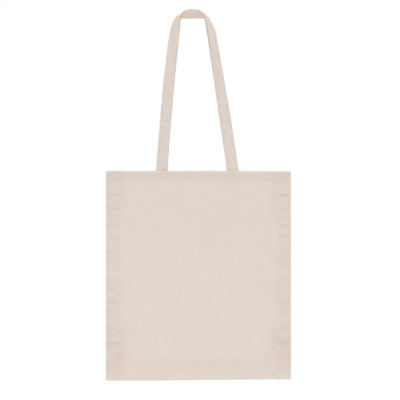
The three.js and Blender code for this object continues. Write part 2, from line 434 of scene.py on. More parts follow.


# Where the painted light and shade of a panel and a strap start, and where they have all their strength.
# Heights above the bottom seam
HEM_FOLD = (HEIGHT - HEM_DEPTH - 1.2, HEIGHT - HEM_DEPTH + 0.6)
HEM_TOP = (HEIGHT - 16, HEIGHT - 11)
BELOW_RIM = (HEIGHT - 1, HEIGHT - 6)
NEAR_MOUTH = (320, 365)
CORNER_TOP, CORNER_FOOT = (125, 95), (32, 52)
ABOVE_RIDGE = (9, 20)
LOWER_BAND = (56, 36)
OFF_CREASE = (4, 12)  # from the crease
# Distances from the middle of a panel
SIDE_BAND = (HALF_WIDTH - TUCK_BAND - 9, HALF_WIDTH - TUCK_BAND + 7)
WIDE_BAND = (HALF_WIDTH - 56, HALF_WIDTH - 34)
SEAM_EDGE = (HALF_WIDTH - 3, HALF_WIDTH - 1)
BAND_STRAY = 26.0  # how far the edges of the bands wander
BAND_SPREAD = 9.0  # how much wider the side ones are near the mouth and at the lower corners
# On a strap, u starts at one edge of its outer face and runs round it
INNER_FACE = (STRAP_WIDTH + 0.5, STRAP_WIDTH + 2.5)
OVER_HOOK = (60, 40)  # from the middle of the crown


def panel_painted_shade(g, u, v):
    """Painted shade on a panel: darker over its hem, beside its seams, in its lower corners and low down,
    for the shade over its thick hem and where the cloth slopes and tucks away from the light, and warmer
    in a wider band beside the seams. The top fold of the hem is left lighter, a painted highlight.

    The bands of painted shade are fainter on the ridge above the bottom seam and at the crease.
    """
    # Painted shade over the hem, where its thick layers let less light through, faded out just below the
    # top fold, which is left lighter as a painted highlight.
    hem = g.plus(g.times(g.ramp_mm(v, HEM_FOLD), 0.5), g.times(g.ramp_mm(v, HEM_TOP), 0.5))
    hem = g.times(hem, g.ramp_mm(v, BELOW_RIM))

    from_middle = g.size(u)
    stray = g.stray(g.noise(u, v, 22, 30, detail=3.0, seed=16.0), BAND_STRAY * MM)
    corner_shade_rows = g.times(g.ramp_mm(v, CORNER_TOP), g.ramp_mm(v, CORNER_FOOT))
    spread = g.times(g.math("MAXIMUM", g.ramp_mm(v, NEAR_MOUTH), corner_shade_rows), BAND_SPREAD * MM)
    outward = g.plus(g.plus(from_middle, stray), spread)
    upward = g.plus(v, stray)

    # How strong the painted shade is: half as strong on the ridge above the bottom seam and at the crease.
    shade_strength = g.blend(g.ramp_mm(upward, ABOVE_RIDGE), 0.5, 1.0)
    # Painted shade low down, where the panel slopes in to the bottom seam.
    low = g.times(g.ramp_mm(upward, LOWER_BAND), shade_strength)
    off_crease = g.ramp_mm(g.size(g.minus(v, CREASE_HEIGHT * MM)), OFF_CREASE)
    shade_strength = g.times(shade_strength, g.blend(off_crease, 0.5, 1.0))
    # Painted shade beside the side seams, where the cloth slopes and tucks away from the light, and painted
    # warm shade in a wider band.
    side = g.times(g.ramp_mm(outward, SIDE_BAND), g.times(shade_strength, g.blend(hem, 1.0, 0.4)))
    wide = g.times(g.ramp_mm(outward, WIDE_BAND), shade_strength)
    return [
        # painted shade over the hem
        (hem, (0.953, 0.933, 0.931, 1)),
        # painted shade beside the side seams
        (side, (0.976, 0.958, 0.951, 1)),
        # painted warm shade in a wider band beside the seams
        (wide, (1.0, 0.985, 0.993, 1)),
        # painted shade in the lower corners, where the cloth dives between the tucks
        (g.times(wide, corner_shade_rows), (0.976, 0.972, 0.968, 1)),
        # painted shade where the cloth rolls into the side seams
        (g.ramp_mm(from_middle, SEAM_EDGE), (0.975, 0.968, 0.962, 1)),
        # painted shade low down
        (low, (0.998, 0.966, 0.969, 1)),
    ]


def strap_painted_light_and_streaks(g, u, v):
    """Painted light: over the hook the inner face is painted lighter and warmer, for the light that comes
    through the strap, with lighter, cooler streaks along it. All of the strap has darker streaks along it,
    painted shade of its folded layers, and darker patches.
    """
    crown = strap_frame("front")[3][-1] / 2
    over_hook = g.ramp_mm(g.size(g.minus(v, crown * MM)), OVER_HOOK)
    inner = g.times(g.ramp_mm(u, INNER_FACE), over_hook)
    cool_pale_streaks = g.ramp(g.noise(u, v, 330, 26, detail=1.0, seed=21.0), 0.5, 0.6)
    return [
        # painted light over the hook: the inner face lighter and warmer
        (inner, (1.091, 1.061, 1.021, 1)),
        # lighter, cooler streaks along the inner face there
        (g.times(inner, cool_pale_streaks), (1.075, 1.09, 1.105, 1)),
        # painted shade: darker streaks along the strap, for its folded layers
        (g.ramp(g.noise(u, v, 330, 14, seed=18.0), 0.42, 0.66), (0.965, 0.952, 0.94, 1)),
        (g.ramp(g.noise(u, v, 60, 150, seed=19.0), 0.5, 0.68), (0.96, 0.948, 0.94, 1)),
    ]


def no_tints(g, u, v):
    return []


def floor_material():
    """Pale floor that fades, to the camera, into the white round it."""
    g = Graph(bpy.data.materials.new("floor_paint"))
    place = g.node("TexCoord").outputs["Object"]
    radius = g.node("VectorMath", {0: place}, operation="LENGTH").outputs["Value"]
    white = g.node("Emission", {"Color": WHITE, "Strength": 1.0})
    share = g.times(g.ramp(radius, FLOOR_PLAIN, FLOOR_RADIUS), g.camera_ray())
    g.feed(g.tree.nodes["Material Output"].inputs["Surface"], g.mix_shaders(share, g.shader, white))
    return g.finished({"Base Color": FLOOR, "Roughness": 0.9})


# ==== Camera, lights and floor ====

SENSOR_WIDTH = 36.0
CAMERA_DISTANCE = 3.0  # in metres
VIEW_WIDTH = 0.82  # in metres, seen across the picture at the bag
VIEW_SIDE = 3.3  # of the picture's middle from the bag's
VIEW_DEPTH = 59.7  # of the picture's middle below the mouth
VIEW_CENTRE = Vector((BAG_ORIGIN + [VIEW_SIDE, 0.0, HEIGHT - VIEW_DEPTH]) * MM)

# Soft lamps: name, place from the picture's middle and diameter in metres, and power in watts
LAMPS = [
    ("front", (0.0, -2.8, -1.2), 1.6, 26),
    ("left", (-2.6, -1.2, 0.9), 1.6, 18),
    ("right", (2.6, -1.2, 0.9), 1.6, 18),
    ("top", (0.0, -1.3, 2.9), 1.4, 27),
]
LIGHT_STRENGTHS = (0.5, 1.05)  # of the white all round, before the bag and behind it
LIGHT_TURN = (-0.3, 0.5)  # where the one becomes the other, of -1 straight before to 1 straight behind

FLOOR_DROP = 0.70  # in metres, of the floor below the bag
FLOOR_RADIUS = 1.2
FLOOR_PLAIN = 0.55  # radius from which the floor fades into the white round it


def look_at(thing, target):
    thing.rotation_euler = (target - thing.location).to_track_quat("-Z", "Y").to_euler()


def add_camera():
    data = bpy.data.cameras.new("camera")
    data.sensor_width = SENSOR_WIDTH
    data.lens = SENSOR_WIDTH * CAMERA_DISTANCE / VIEW_WIDTH
    camera = link("camera", data)
    camera.location = VIEW_CENTRE + Vector((0, -CAMERA_DISTANCE - FLAT_FACE * MM, 0))
    look_at(camera, camera.location + Vector((0, 1, 0)))
    bpy.context.scene.camera = camera


def add_lamp(name, place, diameter, power):
    data = bpy.data.lights.new(name, "AREA")
    data.shape = "DISK"
    data.size = diameter
    data.energy = power
    lamp = link(name, data)
    lamp.location = VIEW_CENTRE + Vector(place)
    look_at(lamp, VIEW_CENTRE)


def add_world():
    """White to the camera all round, and plain light from it, weaker from before the bag."""
    bpy.context.scene.world = bpy.data.worlds.new("studio")
    g = Graph(bpy.context.scene.world)
    g.tree.nodes.clear()
    direction = g.node("TexCoord").outputs["Generated"]
    names = ("Value", "From Min", "From Max", "To Min", "To Max")
    values = (g.node("SeparateXYZ", {0: direction}).outputs["Y"], *LIGHT_TURN, *LIGHT_STRENGTHS)
    strength = g.node("MapRange", dict(zip(names, values))).outputs[0]
    light = g.node("Background", {"Color": WHITE, "Strength": strength})
    backdrop = g.node("Background", {"Color": WHITE, "Strength": 1.0})
    g.node("OutputWorld", {0: g.mix_shaders(g.camera_ray(), light, backdrop)})


def add_floor():
    bpy.ops.mesh.primitive_circle_add(vertices=96, radius=FLOOR_RADIUS, fill_type="NGON")
    floor = bpy.context.object
    floor.name = "floor"
    floor.location = (BAG_ORIGIN[0] * MM, 0, BAG_ORIGIN[2] * MM - FLOOR_DROP)
    floor.data.materials.append(floor_material())


# ==== Panels ====

# Tucks that the side seams draw in the cloth, which swells out above each and dives in below it: height,
# distance from the seam, length, size, how steeply it climbs away from the seam, and width
SIDE_TUCKS = [
    (36, 14, 12, 0.4, 0.0, 7.0),
    (57, 28, 12, 1.3, 0.75, 6.0),
    (77, 9, 21, 2.3, 0.05, 7.0),
    (92, 16, 12, 1.0, 0.5, 4.5),
    (108, 9, 16, 2.0, -0.1, 7.5),
    (119, 7, 10, 1.0, 0.1, 4.5),
    (146, 10, 9, 0.6, -0.2, 5.0),
    (165, 13, 13, 1.1, 0.0, 6.5),
    (187, 10, 11, 1.1, -0.15, 5.0),
    (206, 10, 10, 0.7, 0.1, 5.0),
    (245, 9, 9, 0.6, -0.1, 4.5),
    (262, 12, 12, 0.6, 0.1, 5.0),
    (296, 12, 9, 0.9, -0.1, 4.5),
    (316, 14, 12, 1.1, 0.05, 5.0),
    (334, 9, 9, 0.7, -0.2, 4.0),
    (357, 16, 14, 0.7, 0.1, 6.0),
    (359, 41, 5, 0.35, 0.0, 3.5),
    (381, 11, 16, 1.1, -0.05, 5.0),
    (394, 9, 12, 0.9, 0.1, 4.0),
]
TUCK_SIZE = 1.3
TUCK_SHIFT = 2.0  # how far a tuck may lie above or below its height
TUCK_SCALES = (0.8, 1.2)

# Random ripples along a line: size, spacing, lean, and what they add to the panel's seed
SEAM_RIPPLES = [(1.1, 6.5, 0.25, 1), (0.55, 3.6, -0.2, 2)]
HEM_PUCKERS = [(0.16, 7.0, 0.3, 21), (0.2, 17.0, 0.0, 22)]
RIDGE_RIPPLES = [(0.3, 9.0, 0.0, 31), (0.2, 23.0, 0.0, 32)]
# Random waves over a surface: size, spacings across and up, lean, and the same
BAND_RIPPLES = [(0.5, 9, 4.2, 0.0, 4), (0.85, 15, 8, 0.0, 6)]
PANEL_WAVES = [(0.7, 105, 150, 0.0, 11), (0.22, 42, 95, 0.35, 12), (0.07, 17, 24, 0.0, 13)]
RIGHT_SEED = 40  # what the wrinkles beside the right seam add

BAND_SWELL = 0.6  # how far the cloth stands out in the band beside a side seam
FIRST_SWELL = 0.35  # share of its depth that a panel has just above the bottom
HEM_STEP = 2.5  # height over which a panel thickens into its hem


def ripples(kinds, t, aside, seed):
    """Random ripples along t, which lean with the distance aside from it."""
    return sum(size * wave(t + lean * aside, spacing, seed + n) for size, spacing, lean, n in kinds)


def surface_ripples(kinds, x, z, seed):
    return sum(size * waves(x + lean * z, z, wide, high, seed + n) for size, wide, high, lean, n in kinds)


def level_off(t, softness=0.12):
    """t up to 1 and then flat, with a soft bend between."""
    return t - softness * np.log1p(np.exp((t - 1) / softness))


def from_seam(x):
    """Distance from the nearer side seam."""
    return HALF_WIDTH - np.abs(x)


def fullness(z):
    """How far the bag has opened at each height: a little just above the bottom, all at the mouth."""
    first = smoothstep((z - BOTTOM_RIDGE) / BOTTOM_RISE)
    return FIRST_SWELL * first + (1 - FIRST_SWELL) * np.clip(z / HEIGHT, 0, 1)


def slopes(x, z):
    """Share of its full depth that a panel has: none at the seams, all on the flat of the mouth."""
    return np.clip(level_off(from_seam(x) / SIDE_SLOPE), 0, 1) * fullness(z)


def hem_share(z):
    return smoothstep((z - (HEIGHT - HEM_DEPTH - HEM_STEP)) / HEM_STEP)


def hem_profile(x, z, seed):
    """How far the hem stands off: a low swell, pinched along the stitches, with a ridge below them."""
    depth, side = HEIGHT - z, from_seam(x)
    below = depth - HEM_STITCH_DEPTH
    tight = smoothstep((48 - side) / 24)  # the stitches draw harder near the side seams
    swell = 0.3 * smoothstep(depth / 3.0) * smoothstep(-below / 4.0)
    pinch = (0.14 + 0.6 * tight) * bell(below, 0.9 + 0.4 * tight)
    stitch = 0.05 * np.cos(2 * math.pi * x / STITCH_LENGTH) * bell(below, 2.0)
    ridge = (0.1 + 0.3 * tight) * bell(depth - HEM_DEPTH + 0.9, 1.3)
    drawn = bell(below + 2.5, 6.0) * (0.4 + 0.6 * fade(side, 60))
    return swell - pinch + stitch + ridge + drawn * ripples(HEM_PUCKERS, x, depth, seed)


def tack_draw(x, z):
    """How far the tacks draw the hem in, from its row of stitches up."""
    reach = STRAP_WIDTH / 2 + TACK_REACH
    beside = sum(smoothstep((reach - np.abs(x - centre)) / TACK_REACH) for centre in END_CENTRES)
    return TACK_DRAW * beside * smoothstep((z - HEIGHT + HEM_STITCH_DEPTH) / 6)


def side_tucks(side, z, seed):
    """The tucks beside one side seam, at distances from it."""
    rng = np.random.default_rng(seed)
    out = np.zeros(np.broadcast(side, z).shape)
    for height, inset, length, size, climb, width in SIDE_TUCKS:
        shift, scale = rng.uniform(-TUCK_SHIFT, TUCK_SHIFT), rng.uniform(*TUCK_SCALES)
        line = (z - height - shift - climb * (side - inset)) / width
        fold = 1.65 * line * np.exp(-line * line / 2) + 0.8 * bell(line, 1.6)
        out += TUCK_SIZE * size * scale * fold * bell(side - inset, length) * (1 - 0.7 * fade(side, 5))
    return out


def side_wrinkles(side, z, seed):
    """Ripples and tucks beside one side seam. The crease has pressed the ripples flatter."""
    pressed = 1 - 0.7 * bell(z - CREASE_HEIGHT, 8.0)
    near = pressed * fade(side, 9.0) * (1 - fade(side, 1.6))
    band = pressed * smoothstep((TUCK_BAND + 4 - side) / 8.0) * (1 - fade(side, 3.0))
    slanted = z + 0.5 * side * wave(z, 30, seed + 3)
    out = near * ripples(SEAM_RIPPLES, z, side, seed)
    out += band * (BAND_SWELL + surface_ripples(BAND_RIPPLES, side, slanted, seed))
    return out + side_tucks(side, z, seed + 5)


def strap_pull(x, z):
    """Folds that hang from the strap ends, each between two shallow hollows."""
    fold = sum(bell(x - centre, 15.0) for centre in END_CENTRES)
    hollows = sum(bell(np.abs(x - centre) - 24, 9.0) for centre in END_CENTRES)
    return 0.4 * fold * fade(HEIGHT - z, 85.0) - 0.3 * hollows * fade(HEIGHT - z, 70.0)


def low_crease(x, z):
    """A faint upright crease, a little beside the middle."""
    return -0.3 * smoothstep((z - 14) / 25) * smoothstep((115 - z) / 60) * bell(x + 7, 1.8)


def relief(x, z, seed):
    """Wrinkles, as a distance outwards from the smooth panel."""
    side = from_seam(x)
    clear = smoothstep(side / 30.0) * smoothstep(z / 30.0)
    ridge = fade(z, 14.0) * (1 - fade(z, 1.5))
    out = clear * surface_ripples(PANEL_WAVES, x, z, seed) + ridge * ripples(RIDGE_RIPPLES, x, z, seed)
    out += (x < 0) * side_wrinkles(side, z, seed) + (x > 0) * side_wrinkles(side, z, seed + RIGHT_SEED)
    return out + strap_pull(x, z) + low_crease(x, z)


def half_gap(x, z, curl, seed):
    """Distance of the middle of the outer layer of cloth from the centre plane.

    curl is 0 at a seam and 1 where the cloth has finished its roll out of it.
    """
    hem = hem_share(z)
    edge = SEAM_ROLL + (2 * LAYER + 0.2) * hem
    base = SEAM_GAP + edge * curl
    flat = FLAT_FACE - CLOTH / 2 - SEAM_GAP - edge
    wrinkles = relief(x, z, seed) * (1 - 0.65 * hem) + hem * (hem_profile(x, z, seed) - tack_draw(x, z))
    gap = base + flat * slopes(x, z) + wrinkles * curl
    return softly_above(gap, 0.75 * base, 0.03 + 0.45 * curl)


# The grid of a panel, in millimetres
SIDE_FINE, SIDE_COLUMNS, SIDE_STEP = 45, 28, 3.2  # width and number of the fine columns, coarse step
HEM_FINE, HEM_STEP_UP, BODY_STEP_UP = 34, 0.9, 2.0  # height of the fine rows, fine and coarse step
TUCKED_IN = 5.0  # of the raw edge between the two layers of the hem, below the mouth
CLEARANCE = 0.15  # from the inner layers of the hem to the centre plane


def roll_stations(length, body):
    """From a seam: distances along the cloth, how much of the roll is done there, and how far in."""
    turned = np.linspace(0, math.pi / 2, 6)
    past = body[body > 0.3]
    stations = np.concatenate([SEAM_ROLL * turned, SEAM_ROLL * math.pi / 2 + past])
    curl = np.concatenate([np.sin(turned), np.ones_like(past)])
    inward = np.concatenate([SEAM_ROLL * (1 - np.cos(turned)), SEAM_ROLL + past])
    keep = inward <= length
    return stations[keep], curl[keep], inward[keep]


def panel_columns():
    """x, curl and place on the cloth of each column."""
    fine = np.linspace(0, SIDE_FINE, SIDE_COLUMNS, endpoint=False)
    body = np.concatenate([fine, np.arange(SIDE_FINE, HALF_WIDTH, SIDE_STEP)])
    stations, curl, inward = roll_stations(HALF_WIDTH - 1.0, body)
    x, rolled = inward - HALF_WIDTH, stations - inward
    left = np.stack([x, curl, x + rolled - rolled[-1]])
    right = left[:, ::-1] * [[-1], [1], [-1]]
    return np.concatenate([left, [[0.0], [1.0], [0.0]], right], axis=1)


def panel_rows():
    """Height, curl, layer and place on the cloth of each row: from the bottom seam up, over the mouth,
    down inside to the lower edge of the hem, and up again between its two layers."""
    top = HEIGHT - LAYER
    hem_bottom = HEIGHT - HEM_DEPTH
    fine = HEIGHT - HEM_FINE
    coarse_rows = np.linspace(0, fine, round(fine / BODY_STEP_UP), endpoint=False)
    _, rolled, up = roll_stations(top, np.concatenate([coarse_rows, np.arange(fine, HEIGHT, HEM_STEP_UP)]))
    over = np.linspace(0, math.pi, 7)
    down = np.linspace(top - 1.5, hem_bottom + LAYER / 2, 14)
    under = np.linspace(0, math.pi, 5)[1:]
    between = np.linspace(hem_bottom + 3, HEIGHT - TUCKED_IN, 6)
    runs = [
        (up, 0 * up),
        (top + LAYER * np.sin(over), LAYER * (1 - np.cos(over))),
        (down, 0 * down + 2 * LAYER),
        (hem_bottom + LAYER / 2 * (1 - np.sin(under)), LAYER * (1.5 + 0.5 * np.cos(under))),
        (between, 0 * between + LAYER),
    ]
    heights, layers = (np.concatenate(values) for values in zip(*runs))
    curl = np.ones_like(heights)
    curl[: len(rolled)] = rolled
    return heights, curl, layers, distances_along(np.stack([heights, layers], -1))


def mouth_line(x):
    """How far the mouth's edge stands above or below its level along the bag."""
    high = 0.4 * bell(x - 20, 45) + 0.5 * wave(x, 70, 3)
    low = 0.2 + 0.5 * smoothstep((x - 140) / 40) + 1.7 * fade(from_seam(x), 4.5)
    return high - low


def bottom_line(x):
    """The same for the bottom edge."""
    return 1.5 * x / HALF_WIDTH + 0.15 + 0.25 * wave(x, 60, 4)


def edge_rise(x, z):
    """How far the cloth moves up for its edges to follow the lines of the mouth and the bottom."""
    share = z / HEIGHT
    return smoothstep(share) * mouth_line(x) + smoothstep(1 - share) * bottom_line(x)


def panel_grid(seed):
    """Points of the front panel, rows by columns, and their places on the cloth."""
    x, curl_x, u = panel_columns()
    z, curl_z, layer, v = panel_rows()
    grid_x, grid_z = np.meshgrid(x, z)
    gap = half_gap(grid_x, np.minimum(grid_z, HEIGHT), curl_z[:, None] * curl_x, seed)
    inner = np.minimum(layer[:, None], np.maximum(gap - CLEARANCE, 0.0))
    grid = np.stack([grid_x, inner - gap, grid_z + edge_rise(grid_x, grid_z)], -1)
    return grid, np.stack(np.meshgrid(u, v), -1)


def on_panel(x, z, seed):
    """Points on the outside of the front panel, and the directions out of it."""

    def surface(a, b):
        return np.stack([a, -half_gap(a, b, 1.0, seed), b + edge_rise(a, b)], -1)

    step = 0.4
    across = surface(x + step, z) - surface(x - step, z)
    upward = surface(x, z + step) - surface(x, z - step)
    normal = unit(np.cross(across, upward))
    return surface(x, z) + normal * CLOTH / 2, normal


# ==== Stitching on the panels ====

STITCH_FILL = 0.8  # share of the way from one stitch to the next that is thread


def run_of_stitches(line, length):
    """Start and end points, in x and z, of the stitches along a line between two points."""
    a, b = np.array(line, float)
    count = max(1, round(np.linalg.norm(b - a) / length))
    shares = np.arange(count)[:, None] / count
    return a + (b - a) * shares, a + (b - a) * (shares + STITCH_FILL / count)


def stitches_on_panel(name, lines, seed, side, length=STITCH_LENGTH):
    runs = [run_of_stitches(line, length) for line in lines]
    starts, ends = (np.concatenate(points) for points in zip(*runs))
    first, normal = on_panel(*starts.T, seed)
    last, _ = on_panel(*ends.T, seed)
    return stitch_piece(name, [(first, last, normal)], side)


def hem_lines():
    z, end = HEIGHT - HEM_STITCH_DEPTH, HALF_WIDTH - HEM_STITCH_END
    return [((-end, z), (end, z))]


def tack_lines(centre):
    """A frame with a cross in it, through the hem and the strap end behind it."""
    half = STRAP_WIDTH / 2 - TACK_INSET
    high, low = (HEIGHT - depth for depth in TACK_DEPTHS)
    a, b, c, d = (centre - half, low), (centre + half, low), (centre + half, high), (centre - half, high)
    return [(a, b), (b, c), (c, d), (d, a), (a, c), (b, d)]


# ==== Seams inside the bag ====

# Each seam: a point on it, the directions along it and into the bag, and where its strip starts and ends
SEAMS = {
    "left_side_seam": ((-HALF_WIDTH, 0, 0), (0, 0, 1), (1, 0, 0), 2.0, HEIGHT - 5.0),
    "right_side_seam": ((HALF_WIDTH, 0, 0), (0, 0, 1), (-1, 0, 0), 2.0, HEIGHT - 5.0),
    "bottom_seam": ((0, 0, 0), (1, 0, 0), (0, 0, 1), -HALF_WIDTH + 13, HALF_WIDTH - 12),
}
SEAM_STEP = 3.0
SEAM_INSET = 1.4  # of a strip from its seam
SEAM_SWAY = 0.35  # how far a strip's raw edge leans to the front and the back
RAW_EDGE_STRAY = 0.3
LOOP_SPACING = 2.4
LOOP_LEANS = (1.2, -0.1)  # how far along the seam each of a loop's two threads runs
LOOP_HEIGHTS = (1.7, -4.0)  # of a loop's two ends beyond the depth of the allowance
LOOP_RADIUS, LOOP_RISE = 0.2, 0.12


def seam_point(seam, s, inset):
    """Points on the centre plane at s along a seam and inset into the bag."""
    start, run, inward = (np.array(vector, float) for vector in seam[:3])
    return start + run * s[..., None] + inward * inset[..., None]


def seam_strip(name, seam, seed):
    """The two allowances of a seam, sewn together as one strip."""
    along = np.arange(*seam[3:], SEAM_STEP)
    insets = np.linspace(SEAM_INSET, SEAM_ALLOWANCE + SEAM_INSET, 7)
    s, inset = np.meshgrid(along, insets, indexing="ij")
    share = inset / SEAM_ALLOWANCE
    grid = seam_point(seam, s, inset + RAW_EDGE_STRAY * share * wave(s, 5, seed + 1))
    grid[..., 1] += SEAM_SWAY * share * wave(s, 16, seed)
    return cloth_solid(name, grid, np.stack([s, inset], -1), 2 * CLOTH, seam_cloth)


def overlock(name, seam, seed):
    """Loops of thread round the raw edges of a seam, on both faces of its strip."""
    along = np.arange(*seam[3:], SEAM_STEP)
    s = np.arange(along[0] + 2, along[-1] - 3, LOOP_SPACING)
    low, high = (np.full_like(s, SEAM_ALLOWANCE + height) for height in LOOP_HEIGHTS)
    rows = []
    for face in (-1.0, 1.0):
        normals = np.full((len(s), 3), [0.0, face, 0.0])
        out = normals * (CLOTH + 0.1 + face * SEAM_SWAY * wave(s, 16, seed))[:, None]
        for lean in LOOP_LEANS:
            rows.append((seam_point(seam, s, low) + out, seam_point(seam, s + lean, high) + out, normals))
    return stitch_piece(name, rows, radius=LOOP_RADIUS, rise=LOOP_RISE)


# ==== Handles ====

STRAP_STITCH_INSET = 2.6
STRAP_CORNER = 0.75  # radius of the strap's edges
STRAP_GROOVE = 0.35  # depth of the line along one edge, between the strap's two folded sides
STRAP_STEP = 2.0
LEG_LEAN = 6.0  # degrees that the legs lean in to the hook

# Cross wrinkles of the left leg of a handle and of the right: share of the way up it, depth and width
STRAP_WRINKLES = {
    -1: [
        (0.04, 0.5, 3), (0.17, 0.4, 2.4), (0.58, 0.45, 2.2),
        (0.71, 0.8, 2.6), (0.77, 0.7, 2.2), (0.86, 0.5, 2.2),
    ],
    1: [
        (0.05, 0.5, 3), (0.24, 0.5, 2.4), (0.36, 0.8, 2.6),
        (0.55, 0.5, 2.2), (0.62, 0.6, 2.4), (0.74, 0.5, 2.2),
    ],
}
# Random crumples of a strap: size, spacings across and along, lean, and what they add to its seed
STRAP_CRUMPLES = [(0.3, 8, 7, 0.0, 0), (0.35, 30, 20, 0.0, 1), (0.2, 3.5, 60, 0.0, 2)]
CROWN_PUCKER = 0.9  # height of the lengthwise puckers where the strap bends over its hook
CROWN_REACH = 32.0  # how far from the middle of the crown they reach

# The handle over its hook, from left to right: x of the front edge and its height above the underside
# of the crown, then the same for the back edge. The strap runs back between them by what is left of its
# width, and turns its inner face to the front between its two tips.
TURN = [
    (-28, -26, -46, -24),  # top of the left leg
    (-27, -13, -41.5, -9),
    (-27, -3, -35, 2.5),
    (-25.5, 4, -29.5, 8.5),  # left tip
    (-23, 9.5, -27, 7),
    (-19, 13, -24.5, 1),
    (-11, 15.5, -13, 1),
    (0, 16.5, 0, 1),  # middle of the crown
    (11, 15, 12.5, 1),
    (18.5, 11.5, 24, 1),
    (22.5, 8, 27, 6),
    (25.5, 3, 29.5, 5.5),  # right tip
    (27.5, -4, 34.5, -2),
    (29, -15, 40.5, -12),
    (31, -27, 46, -25),  # top of the right leg
]
HOOK_GAP = 1.6  # from the centre plane to the handles' edges where they meet on the hook

# For each leg, -1 left and 1 right
BASE_TWIST = {-1: 21.0, 1: 8.0}  # degrees that it turns just above the mouth, about its middle
TWIST_POWER = {-1: 5.0, 1: 1.1}  # how late the rest of its twist comes on its way up
LEG_BOW = {-1: 1.3, 1: 0.0}  # how far it swings outwards halfway up
NESTING = {-1: 0.2, 1: 1.5}  # how far the back one lies inside the front one at the hook
BASE_RISE = 0.12  # share of a leg in which its base twist is done
NEST_RAMP = 30.0  # from the middle of the crown to where it is moved all of that

# Where the strap's edges are worked out: depths of the sewn ends, and shares of the legs
END_STEPS = [END_DEPTH, END_DEPTH / 2, 4.0]
LEG_SHARES = [0.0, 0.14, 0.28, 0.42, 0.56, 0.7, 0.83, 0.93]


def end_edges(leg, depth):
    """Inner and outer edge of a sewn end, at a depth below the mouth."""
    centre = END_CENTRES[0] if leg < 0 else END_CENTRES[1]
    inner = np.array([centre - leg * STRAP_WIDTH / 2, -STRAP_PLANE, HEIGHT - depth])
    return inner, inner + np.array([leg * STRAP_WIDTH, 0.0, 0.0])


def turn_edges(station):
    """Front and back edge over the hook."""
    front_x, front_z, back_x, back_z = station
    run = math.sqrt(STRAP_WIDTH**2 - (back_x - front_x) ** 2 - (back_z - front_z) ** 2)
    front = np.array([CROWN_CENTRE + front_x, -HOOK_GAP - run, CROWN_UNDERSIDE + front_z])
    return front, front + np.array([back_x - front_x, run, back_z - front_z])


def leg_edges(leg, share):
    """Inner and outer edge of a leg, from its sewn end to where it starts to turn over the hook."""
    bottom, _ = end_edges(leg, 0.0)
    top, top_outer = turn_edges(TURN[0] if leg < 0 else TURN[-1])
    base = math.radians(BASE_TWIST[leg]) * smoothstep(share / BASE_RISE)
    full_turn = math.atan2(top_outer[1] - top[1], abs(top_outer[0] - top[0]))
    turn = base + (full_turn - base) * share ** TWIST_POWER[leg]
    half = STRAP_WIDTH / 2 * (1 - share)
    inner = bottom + (top - bottom) * share
    inner[0] += leg * (half * (1 - math.cos(base)) + LEG_BOW[leg] * math.sin(math.pi * share))
    inner[1] -= half * math.sin(base)
    rise = (top_outer[2] - top[2]) * share**4
    return inner, inner + np.array([leg * STRAP_WIDTH * math.cos(turn), STRAP_WIDTH * math.sin(turn), rise])


def nest(points):
    """Moves the legs closer together, most at the hook."""
    share = np.clip((points[:, 2] - HEIGHT) / (CROWN_UNDERSIDE - HEIGHT), 0, 1)
    aside = np.clip((points[:, 0] - CROWN_CENTRE) / NEST_RAMP, -1, 1)
    amount = np.where(aside < 0, NESTING[-1], NESTING[1])
    points[:, 0] -= amount * share * aside
    return points


def smooth_line(points, steps=12):
    """A curve through the points, with a number of steps between each two."""
    p = np.concatenate([[2 * points[0] - points[1]], points, [2 * points[-1] - points[-2]]])
    t = (np.arange(steps) / steps)[None, :, None]
    a, b, c, d = (p[i : len(p) - 3 + i, None] for i in range(4))
    curve = b + 0.5 * t * (c - a + t * (2 * a - 5 * b + 4 * c - d + t * (3 * b - a - 3 * c + d)))
    return np.concatenate([curve.reshape(-1, 3), points[-1:]])


def soften(line, passes=6):
    """The line with its small bends rounded off, and its ends where they were."""
    line = line.copy()
    for _ in range(passes):
        line[1:-1] = 0.5 * line[1:-1] + 0.25 * (line[:-2] + line[2:])
    return line


def strap_frame(side):
    """Centre, width direction, outward direction and length along the strap at even steps."""
    stations = [end_edges(-1, depth) for depth in END_STEPS]
    stations += [leg_edges(-1, share) for share in LEG_SHARES]
    stations += [turn_edges(station) for station in TURN]
    stations += [leg_edges(1, share) for share in reversed(LEG_SHARES)]
    stations += [end_edges(1, depth) for depth in reversed(END_STEPS)]
    inner, outer = (smooth_line(np.array(edge)) for edge in zip(*stations))
    distances = distances_along((inner + outer) / 2)
    length = distances[-1]
    even = np.linspace(0, length, int(length / STRAP_STEP))
    inner, outer = (soften(points_along(edge, distances, even)) for edge in (inner, outer))
    if side == "back":
        inner, outer = nest(inner), nest(outer)
    middle = (inner + outer) / 2
    across = unit(outer - inner)
    outward = unit(np.cross(unit(np.gradient(middle, axis=0)), across))
    return middle, across, outward, even


def cross_wrinkles(w, s, length):
    leg_length = (CROWN_UNDERSIDE - HEIGHT) / math.cos(math.radians(LEG_LEAN))
    out = 0.0
    for leg, wrinkles in STRAP_WRINKLES.items():
        for share, depth, width in wrinkles:
            place = END_DEPTH + share * leg_length
            line = s - (place if leg < 0 else length - place) - 0.25 * w
            out = out + depth * (bell(line, width) - 0.5 * bell(line - 2.2 * width, width))
    return out


def strap_relief(w, s, length, seed):
    """Wrinkles of a strap, outwards, at w across it and s along it."""
    edge = np.abs(w) / (STRAP_WIDTH / 2)
    from_stitches = np.abs(w) - (STRAP_WIDTH / 2 - STRAP_STITCH_INSET)
    free = np.minimum(s, length - s) - END_DEPTH
    out = surface_ripples(STRAP_CRUMPLES, w, s, seed)
    puckers = waves(w, s, 3.0, 26, seed + 3) * bell(s - length / 2, CROWN_REACH) * (1 - edge**4)
    out += CROWN_PUCKER * puckers + 0.3 * (1 - edge**2) - 0.35 * bell(from_stitches, 0.9)
    return out * smoothstep((free + 4) / 16) - cross_wrinkles(w, s, length) * (1 - 0.4 * edge)


